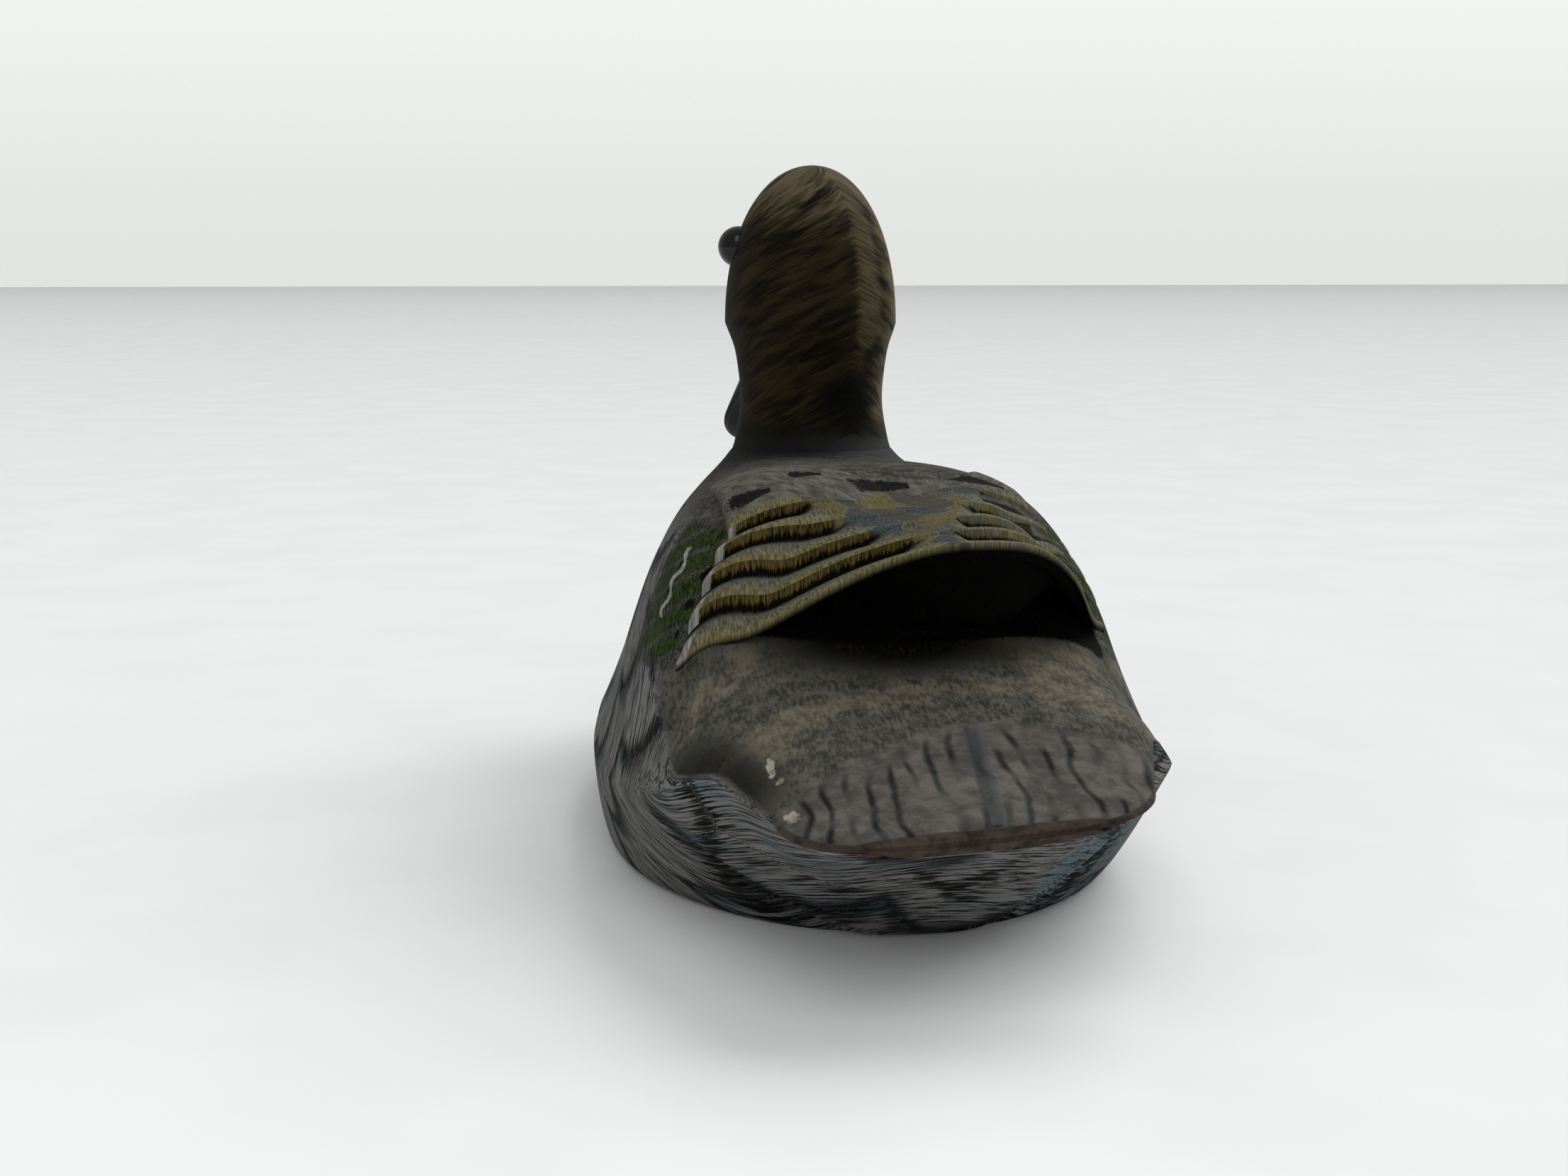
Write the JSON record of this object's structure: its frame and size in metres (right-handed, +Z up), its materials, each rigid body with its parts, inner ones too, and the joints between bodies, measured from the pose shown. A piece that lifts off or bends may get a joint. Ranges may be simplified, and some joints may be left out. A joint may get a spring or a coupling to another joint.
{
  "type": "wooden duck decoy",
  "caption": "Carved and painted wooden hen duck decoy with a flat base, crossed wing tips over a hollow, a broad tail, a set-on head turned to one side and bead eyes.",
  "frame": {"origin": "middle of the bounding box, on the flat underside", "axes": "+Y towards the breast, +X to the duck's right, +Z up"},
  "size_m": [0.0734, 0.165, 0.096],
  "materials": {
    "body_paint": "hand-painted feathers, worn",
    "head_paint": "hand-painted streaks, matt",
    "bill_paint": "black paint, satin",
    "eye_glass": "polished black",
    "shank_wire": "bright wire",
    "peg_wood": "bare"
  },
  "bodies": {
    "root": {"body_block": "body_paint", "bottom_board": "body_paint", "head": "head_paint", "bill": "bill_paint", "left_eye": "eye_glass", "right_eye": "eye_glass", "left_eye_pin": "shank_wire", "right_eye_pin": "shank_wire", "neck_dowel": "peg_wood", "front_body_dowel": "peg_wood", "rear_body_dowel": "peg_wood"}
  },
  "joints": []
}
